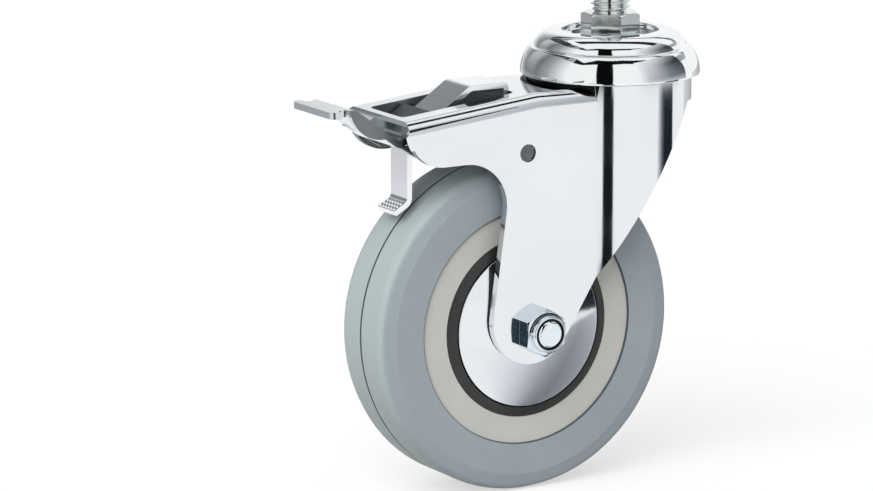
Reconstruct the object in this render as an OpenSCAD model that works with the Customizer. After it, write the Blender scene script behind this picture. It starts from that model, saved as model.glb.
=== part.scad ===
// Braked swivel castor with a threaded stem.
// Origin: on the swivel axis, on top of the stem's hexagon, where the furniture seats.
// +Z points up along the stem, the wheel trails towards -X, and the axle nut is on the -Y side.

/* [Wheel] */
// Wheel diameter over the tread
wheel_d = 100; // [90:1:115]
// Width of the tyre
tyre_w = 27; // [25:0.5:32]
// Radius of the tyre's shoulders
shoulder_r = 4.5; // [3:0.25:6]
// How far the sidewall is dished at the core
sidewall_dish = 1.2; // [0.4:0.1:2]
// Width of the moulding line round the tread
tread_line_w = 0.8; // [0.4:0.1:2]
// Depth of the moulding line round the tread
tread_line_h = 0.4; // [0.2:0.1:1]
// Diameter of the joint between tyre and core
joint_d = 71; // [66:0.5:76]
// Height of the core's tongue inside the tyre
tongue_h = 3.5; // [2:0.5:5]
// Width of the core's tongue inside the tyre
tongue_w = 10; // [6:0.5:14]
// Width of the core over its rim faces
core_w = 23.4; // [22:0.2:25]
// Outer diameter of the black seal ring
seal_d = 55; // [52:0.5:58]
// How far the seal ring stands proud of the core
seal_proud = 1.3; // [0.6:0.1:1.6]
// Depth of the seal ring's seat in the core
seal_seat = 1.7; // [1:0.1:2.5]
// Radial thickness of the seal ring
seal_t = 3.1; // [2:0.1:4]
// Length of the hub
hub_l = 24; // [23.4:0.2:26]
// Diameter of the hub
hub_d = 31; // [28:0.5:34]
// Thickness of the web between hub and rim
web_t = 5; // [3:0.5:7]
// Number of ribs on each side of the web
rib_n = 8; // [4:1:12]
// Thickness of a rib
rib_t = 2.4; // [1.6:0.2:3.2]
// Half depth of a rib
rib_half = 8; // [5:0.5:9]
// Ledge under the seal ring
rim_ledge = 1.5; // [1:0.1:2]
// How far the seal ring's outer edge stands proud of the core
seal_edge = 0.2; // [0.1:0.05:0.5]

/* [Axle and bearings] */
// Diameter of the axle bolt
axle_d = 8; // [7:0.5:9]
// Width across flats of the axle nut and the bolt head
nut_af = 13; // [12:0.5:15]
// Height of the axle nut over its collar
nut_h = 6.8; // [6:0.1:8]
// Height of the axle nut's hexagon
nut_hex_h = 5; // [4:0.1:5.5]
// Diameter of the axle nut's collar
nut_collar_d = 11.2; // [10.6:0.1:11.8]
// Edge radius of the axle nut's collar
nut_edge_r = 0.8; // [0.3:0.1:1]
// Diameter of the recess round the bolt's end
recess_d = 9.2; // [8.8:0.1:9.6]
// Depth of the recess round the bolt's end
recess_h = 1; // [0.5:0.1:1.5]
// Height of the bolt head
bolt_head_h = 5.3; // [4:0.1:6.5]
// How far the bolt's end stands out of the nut
bolt_out = 0.6; // [0.2:0.1:3]
// Bevel of the bolt's end
bolt_bevel = 0.6; // [0.3:0.1:1]
// Slope of the bevel on a hexagon's corners, in degrees
bevel_slope = 30; // [15:1:35]
// How far a hexagon's round face lies inside its flats
bevel_land = 0.2; // [0.1:0.05:0.5]
// Outer diameter of a wheel bearing
bearing_d = 22; // [21:0.5:24]
// Width of a wheel bearing
bearing_w = 7; // [6:0.5:8]
// Depth of a bearing's face in the hub
bearing_sunk = 0.5; // [0.2:0.1:1]
// Ball diameter of a wheel bearing
bearing_ball_d = 3.9; // [3.2:0.1:4.2]
// Balls in a wheel bearing
bearing_ball_n = 7; // [5:1:8]
// Thickness of a bearing race
race_t = 1.8; // [1.4:0.1:2]
// Thickness of the thread guard's sheet
guard_t = 1; // [0.8:0.1:1.5]
// Diameter of the guard's flat centre
guard_flat_d = 18; // [14:0.5:22]
// Depth of the guard's turned-in rim
guard_rim = 1.6; // [1:0.1:2.5]

/* [Fork] */
// Thickness of the fork's sheet
sheet_t = 2.5; // [2:0.1:3]
// Gap between tyre and cheek
side_gap = 2.5; // [2:0.1:4]
// Distance from the swivel axis back to the axle
trail = 36.2; // [32:0.2:40]
// Height of the crown over the tyre
crown_gap = 20.7; // [19:0.1:24]
// Gap between the fork's round neck and the cap's skirt
neck_gap = 0.5; // [0.4:0.1:2]
// Rise of the neck over the crown
neck_rise = 2.6; // [2:0.1:3]
// Radius of the neck's upper edge
neck_edge_r = 1; // [0.5:0.1:1.5]
// Outer bend radius between crown and cheeks
bend_r = 4; // [3.5:0.1:5]
// Fall of the crown behind the axle, in degrees
rear_fall = 6.1; // [4:0.1:7]
// Distance from the axle back to the fork's rear end
horn_back = 43.8; // [42:0.2:46]
// Height of the cheek's arch over the tyre
arch_gap = 2.1; // [1:0.1:3]
// Radius of the arch behind the leg
arch_r = 13.7; // [11:0.1:16]
// Radius of the cheek's rear end
horn_r = 11.5; // [9:0.1:12]
// Radius of the cheek's lower end
boss_r = 13.3; // [12.5:0.1:15]
// Centre of the lower end, behind the axle
boss_back = 2.2; // [0:0.1:3]
// Centre of the lower end, above the axle
boss_up = 3.4; // [1:0.1:4]
// Slope of the cheek's front edge from the vertical, in degrees
front_lean = 32; // [28:0.5:35]
// Lean of the leg's rear edge from the vertical, in degrees
rear_lean = 7.8; // [5:0.1:10]
// Height of the neck's front wall
front_wall = 6.5; // [5:0.1:9]
// Half width of the window in the crown
window_half = 10; // [9:0.1:11]
// Distance from the axle back to the window's front edge
window_front = 3.2; // [2:0.1:4.5]
// Corner radius of the window
window_r = 2; // [1:0.1:3]
// Radius of the fork's rear upper edge
rear_r = 3; // [2:0.1:3.5]
// Depth of the bar behind the window
bar_h = 4.4; // [3.6:0.1:4.6]

/* [Swivel head] */
// Diameter of the threaded stem
stem_d = 12; // [10:0.5:13]
// Length of the stem over the hexagon
stem_l = 30; // [20:1:50]
// Width across flats of the stem's hexagon
hex_af = 15.5; // [14.5:0.25:18]
// Height of the stem's hexagon
hex_h = 7; // [5:0.25:9]
// Turn of the hexagon about the stem, in degrees
hex_turn = 18.5; // [0:0.5:60]
// Diameter of the cap over its skirt
cap_d = 54; // [53:0.5:58]
// Thickness of the cap's sheet
cap_t = 2; // [1.6:0.1:2.2]
// Height of the cap from skirt to crest
cap_h = 13.1; // [12.6:0.1:14]
// Height of the skirt up to its shoulder
skirt_h = 8.2; // [7.6:0.1:8.4]
// Radius of the skirt's curved wall
skirt_r = 13; // [12:0.5:18]
// Depth of the dish that holds the hexagon
dish_h = 1.8; // [1:0.1:2.4]
// Distance of the dish's edge in from the ball race
dish_in = 2.5; // [1.5:0.1:4]
// Gap between skirt and crown
head_gap = 1.1; // [0.6:0.1:1.4]
// Gap between the crown's race boss and the cap
boss_gap = 1; // [0.6:0.1:1.6]
// Ball diameter of the upper race
ball_d = 8; // [7:0.1:8.2]
// Distance of the lower ball race in from the upper one
low_in = 4; // [3:0.25:4.5]
// Ball diameter of the lower race
low_ball_d = 5; // [4:0.1:5.5]
// Least gap between neighbouring balls of a race
ball_gap = 0.5; // [0.3:0.1:0.7]
// How deep the lower balls stand in the crown
low_sunk = 0.8; // [0.5:0.1:1.2]
// How deep the lower balls stand in their cup
cup_sunk = 1.2; // [0.8:0.1:1.5]
// Rim of the crown's race boss outside its track
boss_rim = 1; // [0.8:0.1:1.8]
// Metal left under the boss's track
boss_floor = 2; // [1.6:0.1:2.4]
// Gap between kingpin and crown
journal_gap = 2; // [1:0.1:3]
// Thickness of the lower race cup
cup_t = 2.5; // [2:0.1:3.5]
// Rim of the lower cup outside its balls
cup_rim = 1; // [0.6:0.1:2]
// Diameter of the peened kingpin end
peen_d = 18; // [16:0.5:20]
// Height of the peened kingpin end
peen_h = 3; // [2:0.1:4]

/* [Brake] */
// Diameter of the brake pivot pin
pin_d = 4; // [3.4:0.1:4.2]
// Distance from the axle back to the pivot pin
pin_back = 3.8; // [2:0.1:6]
// Height of the pivot pin over the tyre
pin_up = 3.6; // [3.5:0.1:4.5]
// Diameter of the dimple round a pin end
dimple_d = 5.4; // [5.2:0.1:7]
// Depth of the dimple round a pin end
dimple_h = 1.2; // [0.6:0.1:1.5]
// Height of a pin head
pin_head_h = 0.4; // [0.2:0.1:0.8]
// Gap round a pin head in its dimple
dimple_gap = 0.2; // [0.1:0.05:0.4]
// Diameter of the lever's eyes on the pin
eye_d = 6.2; // [6:0.1:6.4]
// How far an arm's edges lie inside its eye
arm_inset = 0.5; // [0.2:0.1:1]
// Thickness of the lever's sheet
lever_t = 2; // [1.6:0.1:2.2]
// Half width of the lever over its flanges
lever_half = 11; // [10.8:0.1:12]
// How far the tread stands out beyond the flanges
tread_out = 1; // [0.5:0.1:1.5]
// Reach of the tread behind the axle
tread_back = 66; // [60:0.5:75]
// Length of the level tread
tread_l = 8.5; // [6:0.25:12]
// Corner radius of the tread
tread_r = 2; // [1.5:0.1:4]
// Height of the tread over the tyre
tread_up = 20.1; // [19.8:0.1:21]
// Fall of the lever behind the fork, in degrees
lever_fall = 35.8; // [34:0.1:37]
// Bend radius between tread and throat
knuckle_r = 5; // [3:0.1:6]
// Bend radius of the throat
throat_r = 3; // [2.5:0.1:4]
// Length of the nose that rests over the blade
nose_l = 14; // [10:0.25:15]
// Depth of the arms inside the fork
arm_drop = 4.6; // [3.5:0.1:5.5]
// Radius of the half-moon flange under the lever
moon_r = 11; // [10.5:0.25:12]
// Centre of the half-moon in front of the bend
moon_fore = 9; // [8:0.1:9.5]
// Centre of the half-moon above the tread
moon_up = 1.5; // [1:0.1:2]
// Radius of the relief notches beside the tread
relief_r = 1.8; // [1.5:0.1:2]
// Place of the relief notches behind the bend
relief_back = 3.6; // [3.4:0.1:4]
// Thickness of the brake blade's sheet
blade_t = 1.7; // [1.2:0.1:2]
// Half width of the blade in the window
blade_half = 7; // [6:0.1:7.5]
// Half width of the blade's shoe
shoe_half = 4.8; // [4:0.1:6]
// Rise of the blade's top over the crown
blade_rise = 2.4; // [1.8:0.1:3]
// Length of the blade's top
blade_top = 12; // [10:0.25:14]
// Bend radius of the blade's top and heel
roll_r = 2.5; // [1.5:0.1:3]
// Bend radius between ramp and arm
elbow_r = 5; // [3:0.1:6]
// Length of the toe under the crown
toe_l = 5.5; // [4:0.1:7]
// Fall of the toe, in degrees
toe_fall = 9; // [7:0.5:12]
// Fall of the blade's ramp, in degrees
ramp_fall = 34.3; // [33:0.1:36]
// Gap between shoe and tyre with the brake off
shoe_gap = 2.75; // [2.5:0.05:3.5]
// Place of the shoe's bend on the tyre, in degrees behind the top
shoe_turn = 42.2; // [41:0.1:43]
// Length of the shoe's foot
foot_l = 5.6; // [4:0.2:7]
// Slope of the shoe's foot, in degrees
foot_fall = 30; // [28:1:36]

/* [Clearances] */
// Clearance of pieces that are pressed or clamped together
seat_clear = 0.05; // [0.02:0.01:0.1]
// Radial clearance of pins that turn in their holes
pin_clear = 0.06; // [0.03:0.01:0.1]
// Clearance between pieces that move past each other
run_clear = 0.35; // [0.3:0.05:0.5]
// Clearance between the wheel balls and the inner races
ball_clear = 0.12; // [0.08:0.01:0.2]

/* [Hidden] */
$fn = 96;
near = -1;
far = 1;
over = 1;
arc_steps = 6;

// Heights of the swivel head, from the seat at z = 0 downwards
stem_r = stem_d / 2;
cap_r = cap_d / 2;
neck_r = cap_r - cap_t - neck_gap;
dish_z = -hex_h;
crest_z = dish_z + dish_h;
skirt_z = crest_z - cap_h;
shoulder_z = skirt_z + skirt_h;
crown_z = skirt_z - head_gap;
tube_r = ball_d / 2 + seat_clear + cap_t;
ball_z = crest_z - tube_r;
track_r = ball_d / 2 + run_clear;
boss_z = shoulder_z - cap_t - run_clear;
neck_boss_r = cap_r - skirt_r + sqrt((skirt_r - cap_t) ^ 2 - (boss_z - skirt_z) ^ 2) - boss_gap;
race_r = neck_boss_r - boss_rim - track_r;
low_race_r = race_r - low_in;
dish_r = race_r - dish_in;
ball_n = ball_count(race_r, ball_d);
low_ball_n = ball_count(low_race_r, low_ball_d);
boss_roof = ball_z - track_r - boss_floor;
low_ball_z = boss_roof + low_sunk - low_ball_d / 2;
low_track_r = low_ball_d / 2 + run_clear;
cup_top = low_ball_z - low_ball_d / 2 + cup_sunk;
cup_low = cup_top - cup_t;
cup_r = low_race_r + low_ball_d / 2 + cup_rim;

// Axle, tyre and fork
wheel_r = wheel_d / 2;
tyre_half = tyre_w / 2;
axle_x = -trail;
tyre_top = crown_z - crown_gap;
axle_z = tyre_top - wheel_r;
cheek_in = tyre_half + side_gap;
cheek_out = cheek_in + sheet_t;
arch_z = tyre_top + arch_gap;
rear_x = axle_x - horn_back;
rear_top_z = crown_z - horn_back * tan(rear_fall);
bar_z = rear_top_z - bar_h;
lip_z = crown_z - front_wall;
fork_low = axle_z + boss_up - boss_r;
fork_h = crown_z - fork_low + over;

// Stations of the wheel and its bearings along the axle
joint_r = joint_d / 2;
core_half = core_w / 2;
seal_r = seal_d / 2;
seal_in = seal_r - seal_t;
seal_low = core_half - seal_seat;
hub_r = hub_d / 2;
rim_in = seal_r - rim_ledge;
bearing_r = bearing_d / 2;
bearing_out = hub_l / 2 - bearing_sunk;
bearing_in = bearing_out - bearing_w;
bearing_mid = bearing_out - bearing_w / 2;
axle_r = axle_d / 2;
bore_r = axle_r + seat_clear;
pitch_r = (bore_r + bearing_r) / 2;
collar_r = bore_r + race_t;
guard_r = seal_in - run_clear;
guard_edge = core_half + seal_proud;
guard_flat_r = guard_flat_d / 2;
dome_y = (cheek_in ^ 2 - guard_edge ^ 2 - guard_r ^ 2 + guard_flat_r ^ 2) / (2 * (cheek_in - guard_edge));
dome_r = norm([guard_r, guard_edge - dome_y]);

// Brake points, each [x, z] in the plane of the wheel
pin = [axle_x - pin_back, tyre_top + pin_up];
pin_r = pin_d / 2;
eye_r = eye_d / 2;
arm_half = eye_r - arm_inset;
window_x = axle_x - window_front;
hook_x = window_x - run_clear - blade_t / 2;
hook_z = crown_z - sheet_t - window_front * tan(rear_fall);
blade_z = crown_z + blade_rise - blade_t / 2;
heel_r = wheel_r + shoe_gap + blade_t / 2;
heel = [axle_x, axle_z] + heel_r * [-sin(shoe_turn), cos(shoe_turn)];
foot = heel - foot_l * [cos(foot_fall), sin(foot_fall)];
roll = [hook_x - blade_top, blade_z];
elbow = [heel[0], roll[1] - (roll[0] - heel[0]) * tan(ramp_fall)];
hook = [hook_x, hook_z - run_clear - blade_t];
toe = hook + toe_l * [cos(toe_fall), -sin(toe_fall)];
tip = [axle_x - tread_back, tyre_top + tread_up];
knuckle = tip + [tread_l, 0];
nose_lift = (blade_t / 2 + run_clear + lever_t) / cos(ramp_fall);
ramp_rise = roll[1] + nose_lift - roll[0] * tan(ramp_fall);
throat_x = (knuckle[1] + knuckle[0] * tan(lever_fall) - ramp_rise) / (tan(lever_fall) + tan(ramp_fall));
throat = [throat_x, ramp_rise + throat_x * tan(ramp_fall)];
nose = throat + nose_l * [cos(ramp_fall), sin(ramp_fall)];
moon = knuckle + [moon_fore, moon_up];
flange_in = lever_half - lever_t;
tread_half = lever_half + tread_out;
relief_x = knuckle[0] - relief_back;
half_sheet = [0, lever_t / 2];
arm_start = (knuckle + throat) / 2 - half_sheet;

// Balls of diameter d that a race of radius r holds
function ball_count(r, d) = floor(180 / asin((d + ball_gap) / (2 * r)));

// Unit vector along v
function unit(v) = v / norm(v);

// Left-hand normal of v
function left(v) = [-v[1], v[0]];

// Angle of v, in degrees
function heading(v) = atan2(v[1], v[0]);

// Signed turn from heading a to heading b, in degrees
function turn(a, b) = ((b - a + 540) % 360) - 180;

// Arc of radius r that rounds the corner b between a and c
function corner(a, b, c, r) =
    let (u = unit(a - b), w = unit(c - b), half = acos(u * w) / 2)
    let (centre = b + unit(u + w) * r / sin(half))
    let (first = heading(b + u * r / tan(half) - centre))
    let (sweep = turn(first, heading(b + w * r / tan(half) - centre)))
    [for (i = [0 : arc_steps]) let (a = first + sweep * i / arc_steps) centre + r * [cos(a), sin(a)]];

// Path through the points p, with each inner corner rounded by its radius in r
function rounded(p, r) = concat(
    [p[0]],
    [for (i = [1 : len(p) - 2]) each corner(p[i - 1], p[i], p[i + 1], r[i - 1])],
    [p[len(p) - 1]]
);

// Direction of the path p from point i to the next
function step_of(p, i) = unit(p[min(i + 1, len(p) - 1)] - p[min(i, len(p) - 2)]);

// Path p shifted to its left by d, with mitred corners
function shifted(p, d) = [
    for (i = [0 : len(p) - 1])
        let (before = left(step_of(p, max(i - 1, 0))), after = left(step_of(p, i)))
        p[i] + d * (before + after) / (1 + before * after)
];

// Outline of a strip along the path p, from d0 to d1 on its left
function strip(p, d0, d1) =
    let (back = shifted(p, d1))
    concat(shifted(p, d0), [for (i = [len(p) - 1 : -1 : 0]) back[i]]);

// Places its children on the axle, turned so that their axis is the axle's
module on_axle() {
    translate([axle_x, 0, axle_z]) rotate([90, 0, 0]) children();
}

// Mirrors a shape that was drawn for the near side to one side of the wheel
module on_side(side) {
    mirror([0, side == far ? 1 : 0, 0]) children();
}

// Solid of revolution about the axle; the outline is [radius, distance from the wheel's middle]
module turned() {
    on_axle() rotate_extrude() children();
}

// Plate in the plane of the wheel; the outline is [x, z] and y runs from y0 to y1
module plate(y0, y1) {
    translate([0, y1, 0]) rotate([90, 0, 0]) linear_extrude(y1 - y0) children();
}

// Ring section between radii r0 and r1 and stations y0 and y1
module section(r0, r1, y0, y1) {
    translate([r0, y0]) square([r1 - r0, y1 - y0]);
}

// Section of a ring with its upper outer edge rounded
module soft_section(r0, r1, y0, y1, r) {
    section(r0, r1, y0, y1 - r);
    section(r0, r1 - r, y0, y1);
    translate([r1 - r, y1 - r]) circle(r);
}

// Hexagon prism on z = 0 whose upper corners are bevelled
module hexagon(af, h) {
    corner_r = af / 2 / cos(30);
    face_r = af / 2 - bevel_land;
    bevel_h = (corner_r + over - face_r) * tan(bevel_slope);
    intersection() {
        cylinder(h = h, r = corner_r, $fn = 6);
        rotate_extrude() polygon([
            [0, 0], [corner_r + over, 0], [corner_r + over, h - bevel_h], [face_r, h], [0, h]
        ]);
    }
}

// Kingpin in one piece: threaded stem, hexagon, journal and peened end
module stem() {
    color("silver") {
        rotate([0, 0, hex_turn]) translate([0, 0, dish_z]) hexagon(hex_af, hex_h);
        rotate_extrude() polygon([
            [0, cup_low - peen_h], [peen_d / 2 - over, cup_low - peen_h],
            [peen_d / 2, cup_low - peen_h + over], [peen_d / 2, cup_low], [stem_r, cup_low],
            [stem_r, stem_l - over], [stem_r - over, stem_l], [0, stem_l]
        ]);
    }
}

// Outline of the cap, outside or inside its sheet
module cap_outline(in) {
    intersection() {
        section(0, cap_r, skirt_z - (in > 0 ? over : 0), shoulder_z - in);
        translate([cap_r - skirt_r, skirt_z]) circle(skirt_r - in);
    }
    translate([race_r, ball_z]) circle(tube_r - in);
}

// Pressed cap: skirt, shoulder, round race and the dish under the hexagon
module swivel_cap() {
    color("gainsboro") rotate_extrude() difference() {
        union() {
            cap_outline(0);
            section(0, race_r, shoulder_z - over, crest_z);
        }
        cap_outline(cap_t);
        section(0, race_r, skirt_z - over, dish_z - cap_t);
        section(0, dish_r, dish_z, crest_z + over);
        section(-over, stem_r + seat_clear, dish_z - cap_t - over, dish_z + over);
    }
}

// Ring of balls about the swivel axis
module ball_ring(n, r, z, d) {
    for (i = [0 : n - 1]) rotate([0, 0, 360 * i / n]) translate([r, 0, z]) sphere(d = d);
}

module upper_balls() {
    color("lightsteelblue") ball_ring(ball_n, race_r, ball_z, ball_d);
}

module lower_balls() {
    color("lightsteelblue") ball_ring(low_ball_n, low_race_r, low_ball_z, low_ball_d);
}

// Race cup under the crown, held by the peened kingpin
module lower_cup() {
    color("slategray") rotate_extrude() difference() {
        section(stem_r + seat_clear, cup_r, cup_low, cup_top);
        translate([low_race_r, low_ball_z]) circle(low_ball_d / 2 + seat_clear);
    }
}

// Cross section of the fork's rear channel, rounded at its upper edges
module channel(half, top, r) {
    translate([-half, -2 * fork_h]) square([2 * half, 2 * fork_h + top - r]);
    translate([-half + r, -2 * fork_h]) square([2 * (half - r), 2 * fork_h + top]);
    for (side = [near, far]) translate([side * (half - r), top - r]) circle(r);
}

// Neck, level crown and falling crown as one body, drawn in by the distance in;
// the crown lies under the level and the falling channel, so it kinks above the axle
module fork_body(in, rear) {
    translate([0, 0, crown_z]) rotate_extrude() {
        if (in > 0) section(0, neck_r - in, -fork_h, neck_rise - in);
        else soft_section(0, neck_r, -fork_h, neck_rise, neck_edge_r);
    }
    intersection() {
        translate([axle_x - fork_h, 0, crown_z]) rotate([90, 0, 90]) linear_extrude(fork_h + trail)
            channel(cheek_out - in, -in, bend_r - in);
        translate([axle_x, 0, crown_z]) rotate([0, -rear_fall, 0]) translate([-rear / cos(rear_fall), 0, 0])
            rotate([90, 0, 90]) linear_extrude(rear / cos(rear_fall) + fork_h)
            channel(cheek_out - in, -in, bend_r - in);
    }
}

// Outline of a cheek, [x, z]
module cheek_outline() {
    boss = [axle_x - boss_back, axle_z + boss_up];
    front_dir = [sin(front_lean), cos(front_lean)];
    front_foot = boss - boss_r * left(front_dir);
    front_top = front_foot + front_dir * (lip_z - front_foot[1]) / front_dir[1];
    rear_dir = [sin(rear_lean), cos(rear_lean)];
    rear_foot = boss + boss_r * left(rear_dir);
    arch_h = arch_z - arch_r - rear_foot[1];
    arch = [rear_foot[0] + (arch_h * rear_dir[0] - arch_r) / rear_dir[1], arch_z - arch_r];
    horn = [rear_x + horn_r, arch_z + horn_r];
    bend = [rear_x + rear_r, rear_top_z + rear_r * (2 * tan(rear_fall) - 1)];
    neck_top = crown_z + neck_rise + over;
    difference() {
        union() {
            polygon([
                boss, front_foot, front_top, [neck_r + over, lip_z], [neck_r + over, neck_top],
                [bend[0], neck_top], bend, [rear_x, bend[1]], [rear_x, horn[1]], horn,
                [horn[0], arch_z], [arch[0], arch_z], arch, arch - arch_r * left(rear_dir), rear_foot
            ]);
            translate(boss) circle(boss_r);
            translate(horn) circle(horn_r);
            translate(bend) circle(rear_r);
        }
        translate(arch) circle(arch_r);
    }
}

// Block that leaves the bar standing behind the window
module rear_bar() {
    translate([rear_x - 3 * over, -neck_r, bar_z]) cube([sheet_t + 3 * over, 2 * neck_r, fork_h]);
}

// Window in the crown with rounded corners
module window_cut() {
    x0 = rear_x + sheet_t;
    translate([0, 0, bar_z]) linear_extrude(crown_z - bar_z + over) {
        translate([x0, -window_half + window_r])
            square([window_x - x0, 2 * (window_half - window_r)]);
        translate([x0 + window_r, -window_half])
            square([window_x - x0 - 2 * window_r, 2 * window_half]);
        for (x = [x0 + window_r, window_x - window_r], side = [near, far])
            translate([x, side * (window_half - window_r)]) circle(window_r);
    }
}

// Round race boss on the crown, with tracks for both rings of balls
module race_boss() {
    rotate_extrude() soft_section(0, neck_boss_r, crown_z - sheet_t / 2, boss_z, over);
}

module race_cuts() {
    rotate_extrude() {
        translate([race_r, ball_z]) circle(track_r);
        translate([low_race_r, low_ball_z]) circle(low_track_r);
        section(0, neck_boss_r - sheet_t, crown_z - sheet_t - over, boss_roof);
        section(0, stem_r + journal_gap, crown_z - sheet_t, boss_z + over);
    }
}

// Fork in one pressing: neck, crown, cheeks and the bar behind the window
module fork() {
    color("whitesmoke") difference() {
        union() {
            intersection() {
                fork_body(0, horn_back + over);
                plate(-neck_r - over, neck_r + over) cheek_outline();
            }
            race_boss();
        }
        difference() {
            fork_body(sheet_t, horn_back + 2 * over);
            rear_bar();
        }
        window_cut();
        race_cuts();
        on_axle() cylinder(h = 2 * neck_r, r = bore_r, center = true);
        translate([pin[0], 0, pin[1]]) rotate([90, 0, 0]) {
            cylinder(h = 2 * neck_r, r = pin_r + seat_clear, center = true);
            for (side = [near, far]) translate([0, 0, side * cheek_out])
                cylinder(h = 2 * dimple_h, d = dimple_d, center = true);
        }
    }
}

// Pivot pin with a flat head in each dimple
module brake_pin() {
    color("darkgray") translate([pin[0], 0, pin[1]]) rotate([90, 0, 0]) {
        cylinder(h = 2 * (cheek_out - dimple_h), r = pin_r, center = true);
        for (side = [near, far]) translate([0, 0, side * (cheek_out - dimple_h + pin_head_h / 2)])
            cylinder(h = pin_head_h, r = dimple_d / 2 - dimple_gap, center = true);
    }
}

// Hexagon bolt from the far side through both cheeks
module axle_bolt() {
    end_y = cheek_out + nut_h + bolt_out;
    color("silver") on_axle() {
        translate([0, 0, -cheek_out]) rotate([180, 0, 30]) hexagon(nut_af, bolt_head_h);
        rotate_extrude() polygon([
            [0, -cheek_out - over], [axle_r, -cheek_out - over], [axle_r, end_y - bolt_bevel],
            [axle_r - bolt_bevel, end_y], [0, end_y]
        ]);
    }
}

// Lock nut: hexagon, round collar and a recess round the bolt's end
module axle_nut() {
    color("silver") on_axle() translate([0, 0, cheek_out]) difference() {
        union() {
            rotate([0, 0, 30]) hexagon(nut_af, nut_hex_h);
            rotate_extrude() soft_section(0, nut_collar_d / 2, nut_hex_h / 2, nut_h, nut_edge_r);
        }
        translate([0, 0, -over]) cylinder(h = nut_h + 2 * over, r = bore_r);
        translate([0, 0, nut_h - recess_h]) cylinder(h = recess_h + over, d = recess_d);
    }
}

// Tube that keeps the inner races apart
module axle_spacer() {
    color("darkgray") turned() section(bore_r, collar_r, -bearing_in, bearing_in);
}

// Collar between a bearing and its thread guard
module axle_collar(side) {
    color("darkgray") on_side(side) turned() section(bore_r, collar_r, bearing_out, cheek_in - guard_t);
}

// Domed sheet with a turned-in rim, clamped against the cheek
module thread_guard(side) {
    color("gainsboro") on_side(side) turned() difference() {
        union() {
            intersection() {
                translate([0, dome_y]) circle(dome_r);
                section(0, guard_r, guard_edge - guard_rim, cheek_in);
            }
            section(guard_r - guard_t, guard_r, guard_edge - guard_rim, guard_edge);
        }
        intersection() {
            translate([0, dome_y]) circle(dome_r - guard_t);
            section(-over, guard_r - guard_t, 0, cheek_in - guard_t);
        }
        section(-over, bore_r, 0, cheek_in + over);
    }
}

// Track of a wheel bearing, with room round its balls
module bearing_track(room) {
    translate([pitch_r, bearing_mid]) circle(bearing_ball_d / 2 + room);
}

module bearing_inner(side) {
    color("lightgray") on_side(side) turned() difference() {
        section(bore_r, collar_r, bearing_in, bearing_out);
        bearing_track(ball_clear);
    }
}

module bearing_outer(side) {
    color("lightgray") on_side(side) turned() difference() {
        section(bearing_r - race_t, bearing_r, bearing_in, bearing_out);
        bearing_track(seat_clear);
    }
}

module bearing_balls(side) {
    color("lightsteelblue") on_side(side) on_axle()
        ball_ring(bearing_ball_n, pitch_r, bearing_mid, bearing_ball_d);
}

// Grey tyre with round shoulders, dished sidewalls and a line round the tread
module tyre() {
    color("slategray") turned() difference() {
        union() {
            section(joint_r - over, wheel_r - shoulder_r, -tyre_half, tyre_half);
            section(joint_r - over, wheel_r, shoulder_r - tyre_half, tyre_half - shoulder_r);
            for (side = [near, far]) translate([wheel_r - shoulder_r, side * (tyre_half - shoulder_r)])
                circle(shoulder_r);
        }
        section(0, joint_r, -tyre_w, tyre_w);
        section(joint_r - over, joint_r + tongue_h, -tongue_w / 2, tongue_w / 2);
        section(wheel_r - tread_line_h, wheel_r + over, -tread_line_w / 2, tread_line_w / 2);
        for (side = [near, far]) polygon([
            [joint_r - over, side * (tyre_half - sidewall_dish)], [wheel_r - shoulder_r, side * tyre_half],
            [wheel_r - shoulder_r, side * (tyre_half + over)], [joint_r - over, side * (tyre_half + over)]
        ]);
    }
}

// Cream core: rim with a tongue for the tyre, web with ribs, and hub
module wheel_core() {
    tongue_half = tongue_w / 2 - seat_clear;
    color("antiquewhite") {
        turned() difference() {
            union() {
                section(rim_in, joint_r - seat_clear, -core_half, core_half);
                section(rim_in, joint_r + tongue_h - seat_clear, -tongue_half, tongue_half);
                section(bearing_r - race_t, rim_in + over, -web_t / 2, web_t / 2);
                section(bearing_r - race_t, hub_r, -hub_l / 2, hub_l / 2);
            }
            for (side = [0, 1]) mirror([0, side]) {
                section(hub_r + over, seal_r, seal_low, core_half + over);
                section(0, bearing_r + seat_clear, bearing_in, hub_l);
            }
        }
        on_axle() for (i = [0 : rib_n - 1]) rotate([0, 0, 360 * i / rib_n])
            translate([hub_r - over, -rib_t / 2, -rib_half])
            cube([rim_in - hub_r + 2 * over, rib_t, 2 * rib_half]);
    }
}

// Black ring in the core, its face sloping back to the core's face
module seal_ring(side) {
    edge_r = seal_r - seat_clear;
    color("dimgray") on_side(side) turned() polygon([
        [seal_in, seal_low], [edge_r, seal_low], [edge_r, core_half + seal_edge], [seal_in, guard_edge]
    ]);
}

// Tread, throat and nose of the lever, seen from above
module lever_plan() {
    translate([tip[0], tread_r - tread_half]) square([relief_x - tip[0], 2 * (tread_half - tread_r)]);
    translate([tip[0] + tread_r, -tread_half]) square([relief_x - tip[0] - tread_r, 2 * tread_half]);
    for (side = [near, far]) translate([tip[0] + tread_r, side * (tread_half - tread_r)]) circle(tread_r);
    translate([relief_x - over, -lever_half]) square([throat_x - relief_x + over, 2 * lever_half]);
    translate([throat_x - over, -flange_in]) square([nose[0] - throat_x + 2 * over, 2 * flange_in]);
}

// Half-moon under the tread, cut off inside the sheet, [x, z]
module moon_outline() {
    sky = moon + [moon_r + over, moon_r + over];
    difference() {
        translate(moon) circle(moon_r);
        polygon([
            knuckle - [moon_r, 0] - half_sheet, knuckle - half_sheet, throat - half_sheet,
            [sky[0], throat[1]] - half_sheet, sky, [knuckle[0] - moon_r, sky[1]]
        ]);
    }
}

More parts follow.
